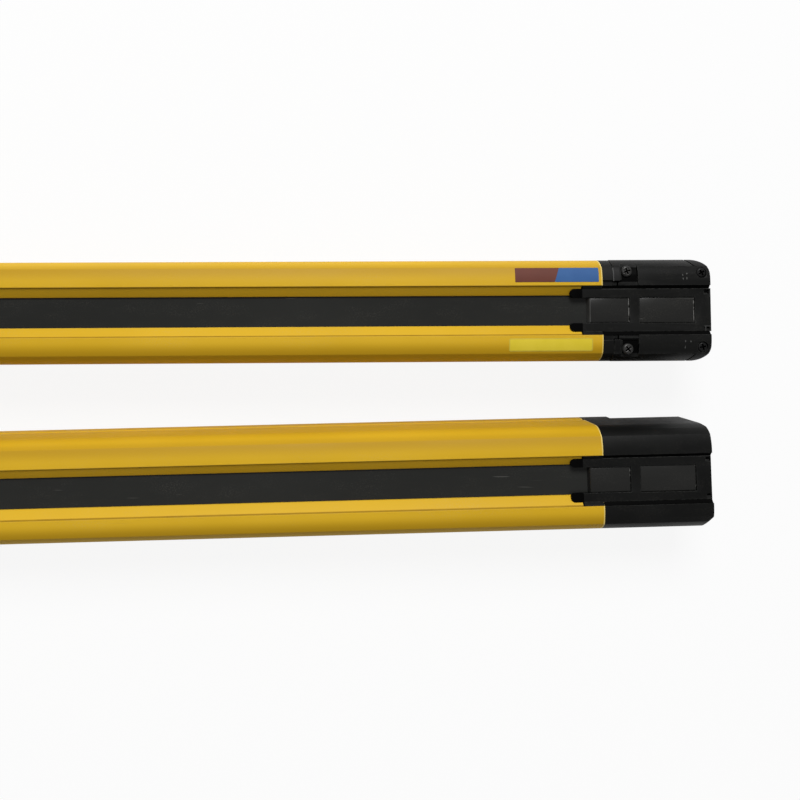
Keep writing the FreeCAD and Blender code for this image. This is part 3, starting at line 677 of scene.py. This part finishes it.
def slab(far, near, inner, outer):
    """A rectangular outline."""
    return [(far, inner), (far, outer), (near, outer), (near, inner)]


def oval(at, across, half_at, half_across, count=16):
    """An oval outline."""
    turns = [math.tau * index / count for index in range(count)]
    return [(at + half_at * math.cos(turn), across + half_across * math.sin(turn)) for turn in turns]


def round_corners(corners, radius, steps=4):
    """The outline with each corner rounded; corners run round a convex shape."""
    outline = []
    count = len(corners)
    for index in range(count):
        here = Vector(corners[index])
        before = (Vector(corners[index - 1]) - here).normalized()
        after = (Vector(corners[(index + 1) % count]) - here).normalized()
        start = here + before * radius
        end = here + after * radius
        for step in range(steps + 1):
            part = step / steps
            outline.append(tuple((1 - part) ** 2 * start + 2 * part * (1 - part) * here + part ** 2 * end))
    return outline


def label_receiver():
    """Two plain fields of print on one ridge, and a sticker with a duller rim on the other."""
    brown = [(LABEL_FAR, LABEL_INNER), (LABEL_FAR, LABEL_OUTER),
             (SLANT_OUTER, LABEL_OUTER), (SLANT_INNER, LABEL_INNER)]
    blue = [(SLANT_INNER, LABEL_INNER), (SLANT_OUTER, LABEL_OUTER),
            (LABEL_NEAR, LABEL_OUTER), (LABEL_NEAR, LABEL_INNER)]
    for name, outline, material in (("brown_label_field", brown, BROWN), ("blue_label_field", blue, BLUE)):
        on_front(name, round_corners(outline, LABEL_CORNER), LABEL_LOW, LABEL_HIGH, material)
    for name, layer, material in (("sticker_edge", STICKER_EDGE_LAYER, STICKER_RIM),
                                  ("sticker_field", STICKER_FIELD_LAYER, STICKER)):
        margin, radius, low, high = layer
        outline = slab(STICKER_FAR - margin, STICKER_NEAR + margin,
                       STICKER_LOWER + margin, STICKER_UPPER - margin)
        on_front(name, round_corners(outline, radius), low, high, material)


def mould_marks():
    """Small raised marks on the receiver's covers, and the thin tabs at their inner ends; the left tab is
    painted lighter as painted light, with a painted highlight line along its far edge.
    """
    # The left tab is painted lighter as painted light; the right one is plain nylon.
    for name, side, material in (("left_cover_tab", 1, LIT_TAB), ("right_cover_tab", -1, NYLON)):
        on_front(name, slab(TAB_FAR, TAB_NEAR, TAB_INNER * side, TAB_OUTER * side),
                 TAB_LOW, TAB_HIGH, material)
    # A painted highlight line along the left tab's far edge.
    on_front("left_cover_tab_highlight", slab(*TAB_HIGHLIGHT_LINE), TAB_LOW, TAB_HIGHLIGHT_TOP, MARKS_AND_HIGHLIGHT)
    for index, line in enumerate(NOTCH_LINES, start=1):
        on_front(f"rubbed_notch_{index}", slab(*line), NOTCH_LOW, NOTCH_HIGH, MARKS_AND_HIGHLIGHT)
    for index, mark in enumerate(MARK_OVALS, start=1):
        on_front(f"moulded_mark_{index}", oval(*mark), MARK_LOW, MARK_HIGH, MARKS_AND_HIGHLIGHT)


# ---------------------------------------------------------------- screws
# Head radius and height, shank radius and length.
SCREW_SHAPES = {
    "cover_screws": (1.65, 1.0, 0.75, 7.75),
    "corner_screws": (1.5, 1.0, 0.75, 7.75),
    "case_screws": (2.4, 2.2, 1.25, 12),
}
SCREW_FINISHES = {"cover_screws": STEEL, "corner_screws": BLACK_SCREW, "case_screws": STEEL}

# Front screws: distance in from the end, distance from the middle line, and each cross's turn.
FRONT_SCREWS = {
    "cover_screws": (24.7, 11.5, {"receiver": (20, 38), "transmitter": (-12, 8)}),
    "corner_screws": (2.5, 11.0, {"receiver": (31, 12), "transmitter": (5, 40)}),
}
FRONT_SEAT = 25.75
CASE_SEAT, CASE_ACROSS, CASE_UP = 27.1, 9.4, 4.3
CASE_TURN, CASE_SIDE_TURN = 25, 10

# The cross recess: half the width of an arm, its reach as a share of the head's radius, its depth,
# its rim's height as a share of the head's, and its floor's size as a share of the rim's. The head's
# outline runs from its seat up, in shares of its radius and height. Last, the tip and the arms' steps.
CROSS_HALF = 0.26
CROSS_REACH = 0.62
CROSS_SINK = 0.62
CROSS_TOP = 0.97
CROSS_TAPER = 0.72
HEAD_OUTLINE = ((0.97, 0), (1, 0.08), (1, 0.4), (0.955, 0.63), (0.86, 0.82), (0.76, 0.92))
TIP_SHARE, TIP_LENGTH = 0.6, 0.3
ARM_STEPS = 4


def ring(bm, place, radii, up):
    """A closed ring of points, one at each of the angles that radii gives."""
    return [bm.verts.new(place @ (Vector((radius * math.cos(angle), radius * math.sin(angle), up)) * MM))
            for angle, radius in radii]


def cross_radii(reach, half):
    """Outline of a cross as radii round its middle, corners included."""
    corner = math.atan2(half, reach)
    quarter = math.pi / 2
    spread_out = quarter / 2 - corner
    angles = [0] + [corner + spread_out * step / ARM_STEPS for step in range(ARM_STEPS + 1)]
    angles += [quarter - angle for angle in reversed(angles[1:-1])]
    radii = []
    for turn in range(4):
        for angle in angles:
            folded = min(angle, quarter - angle)
            radius = reach / math.cos(folded) if folded <= corner + 1e-6 else half / math.sin(folded)
            radii.append((angle + quarter * turn, radius))
    return radii


def pan_screw(bm, place, head, height, shank, length):
    """A pan-head screw with a cross recess; place puts its seat at z = 0 with its head up."""
    cross = cross_radii(head * CROSS_REACH, CROSS_HALF)
    outline = [(shank * TIP_SHARE, -length), (shank, TIP_LENGTH - length), (shank, 0)]
    outline += [(head * out, height * up) for out, up in HEAD_OUTLINE]
    top = height * CROSS_TOP
    floor = [(angle, radius * CROSS_TAPER) for angle, radius in cross]
    levels = [([(angle, radius) for angle, _ in cross], up) for radius, up in outline]
    levels += [(cross, top), (floor, top - CROSS_SINK)]
    rings = [ring(bm, place, radii, up) for radii, up in levels]
    bm.faces.new(list(reversed(rings[0])))
    sides = [bridge(bm, lower, upper) for lower, upper in zip(rings, rings[1:])]
    # The cross recess's walls and floor take the second finish, painted shade.
    for face in sides[-1] + [bm.faces.new(rings[-1])]:
        face.material_index = 1


def screws(bar, part, places):
    """One kind of screw, at each of its places on a bar."""
    node_name = f"{bar}_{part}"
    bm = bmesh.new()
    for place in places:
        pan_screw(bm, place, *SCREW_SHAPES[part])
    bmesh.ops.recalc_face_normals(bm, faces=bm.faces)
    to_place(bm, bar)
    finish_piece(f"{node_name}_turned", bm, SCREW_FINISHES[part], (node_name,), (SHADE_BLACK,))


def upright(at, across, turn):
    """Where a screw on the bar's front sits; at is measured in from the socket end."""
    return (Matrix.Translation(Vector((END_FACE - at, across, FRONT_SEAT)) * MM)
            @ Matrix.Rotation(math.radians(turn), 4, "Z"))


def lying(way, side):
    """Where a screw along the bar sits, its head towards the end that way points to."""
    turn = CASE_TURN * way + CASE_SIDE_TURN * side
    return (Matrix.Translation(Vector((way * (END_FACE - CASE_SEAT), CASE_ACROSS * side, CASE_UP)) * MM)
            @ Matrix.Rotation(math.radians(90 * way), 4, "Y") @ Matrix.Rotation(math.radians(turn), 4, "Z"))


# ---------------------------------------------------------------- the two bars
# How far the edges are broken, the finish and the material slot of each softened piece.
SOFTENED = {
    "housing": (0.12, YELLOW, "yellow_housing"),
    "socket_end_plate": (0.15, NYLON, "black_moulding"),
    "left_side_cover": (0.15, NYLON, "black_moulding"),
    "right_side_cover": (0.15, NYLON, "black_moulding"),
    "socket_end_case": (0.15, NYLON, "black_moulding"),
    "plain_end_case": (0.15, NYLON, "black_moulding"),
    "socket_end_centre_cover": (0.12, NYLON, "black_moulding"),
    "plain_end_centre_cover": (0.12, NYLON, "black_moulding"),
}
PAINTED = {
    "front_window": WINDOW, "window_seals": RUBBER, "lens_strip": LENS, "optics_holder": HOLDER,
    "circuit_board": BOARD, "light_sensors": CHIP, "light_emitters": CHIP, "cable_socket": IVORY,
    "socket_end_gasket": RUBBER, "plain_end_gasket": RUBBER,
}


def paint(node_name, material):
    """Gives a CAD piece that is shown as it is its finish."""
    materials = NODES[node_name].data.materials
    materials.clear()
    materials.append(material)


def dress_bar(bar):
    """Builds or paints every piece of one bar."""
    for part, (width, material, slot) in SOFTENED.items():
        softened(bar, part, width, material)
    for part, material in PAINTED.items():
        if f"{bar}_{part}" in NODES:
            paint(f"{bar}_{part}", material)
    for end in ("socket_end", "plain_end"):
        for place in ("inner_pane", "outer_pane"):
            pressed_in_pane(bar, f"{end}_{place}")
    for part, (at, across, turns) in FRONT_SCREWS.items():
        screws(bar, part, [upright(at, across * side, turn) for side, turn in zip((1, -1), turns[bar])])
    screws(bar, "case_screws", [lying(way, side) for way in (1, -1) for side in (1, -1)])


for bar in BARS:
    dress_bar(bar)
label_receiver()
mould_marks()


# ---------------------------------------------------------------- floor, light and camera
# From here on, places and sizes are in metres.
FLOOR_SIZE = 3
FLOOR_GLOW = 0.9
LAMP_PLACE, LAMP_AIM = (0.05, 1.0, 1.2), (0.1, 0, 0)
LAMP_SIZE, LAMP_POWER = 0.7, 21.5
ROOM_LIGHT, ROOM_SEEN = 0.24, 1.0
CAMERA_PLACE = (0.1448, 0.0212, 0.2282)
CAMERA_TURNS = ((-0.312, "Z"), (-0.961, "Y"), (2.216, "X"))
CAMERA_LENS, CAMERA_SHIFT = 30.86, -0.121


def lay_floor():
    """Pale floor: white to the eye, with the object's shadow left faint on it."""
    bm = bmesh.new()
    bmesh.ops.create_grid(bm, x_segments=1, y_segments=1, size=FLOOR_SIZE)
    mesh = bpy.data.meshes.new("floor")
    bm.to_mesh(mesh)
    bm.free()
    floor = bpy.data.objects.new("floor", mesh)
    bpy.context.collection.objects.link(floor)
    material, tree, shader = new_material("pale_floor")
    shader.inputs["Base Color"].default_value = (0.86, 0.86, 0.86, 1)
    shader.inputs["Roughness"].default_value = 0.9
    path = node(tree, "ShaderNodeLightPath")
    glow = node(tree, "ShaderNodeEmission", {"Color": (1, 1, 1, 1), "Strength": 1})
    seen = math_node(tree, "MULTIPLY", path.outputs["Is Camera Ray"], FLOOR_GLOW)
    mixed = node(tree, "ShaderNodeMixShader", {0: seen, 1: shader.outputs[0], 2: glow.outputs[0]})
    tree.links.new(mixed.outputs[0], tree.nodes["Material Output"].inputs["Surface"])
    mesh.materials.append(material)


def hang_lamp():
    """One soft round lamp, high up on the receiver's side."""
    data = bpy.data.lights.new("window_light", "AREA")
    data.shape = "DISK"
    data.size = LAMP_SIZE
    data.energy = LAMP_POWER
    lamp = bpy.data.objects.new("window_light", data)
    lamp.location = LAMP_PLACE
    lamp.rotation_euler = (Vector(LAMP_AIM) - Vector(LAMP_PLACE)).to_track_quat("-Z", "Y").to_euler()
    bpy.context.collection.objects.link(lamp)


def light_room():
    """Plain white surroundings, brighter to the eye than as light."""
    world = bpy.data.worlds.new("room")
    world.use_nodes = True
    tree = world.node_tree
    background = tree.nodes["Background"]
    path = node(tree, "ShaderNodeLightPath")
    tree.links.new(spread(tree, path.outputs["Is Camera Ray"], ROOM_LIGHT, ROOM_SEEN),
                   background.inputs["Strength"])
    background.inputs["Color"].default_value = (1, 1, 1, 1)
    bpy.context.scene.world = world
    bpy.context.scene.view_settings.view_transform = "Standard"


def place_camera():
    """Looks down on the socket end of the receiver and the plain end of the transmitter."""
    data = bpy.data.cameras.new("camera")
    data.sensor_width = 36
    data.lens = CAMERA_LENS
    data.shift_y = CAMERA_SHIFT
    data.clip_start = 0.01
    camera = bpy.data.objects.new("camera", data)
    place = Matrix.Translation(CAMERA_PLACE)
    for degrees, axis in CAMERA_TURNS:
        place = place @ Matrix.Rotation(math.radians(degrees), 4, axis)
    camera.matrix_world = place
    bpy.context.collection.objects.link(camera)
    bpy.context.scene.camera = camera


lay_floor()
hang_lamp()
light_room()
place_camera()
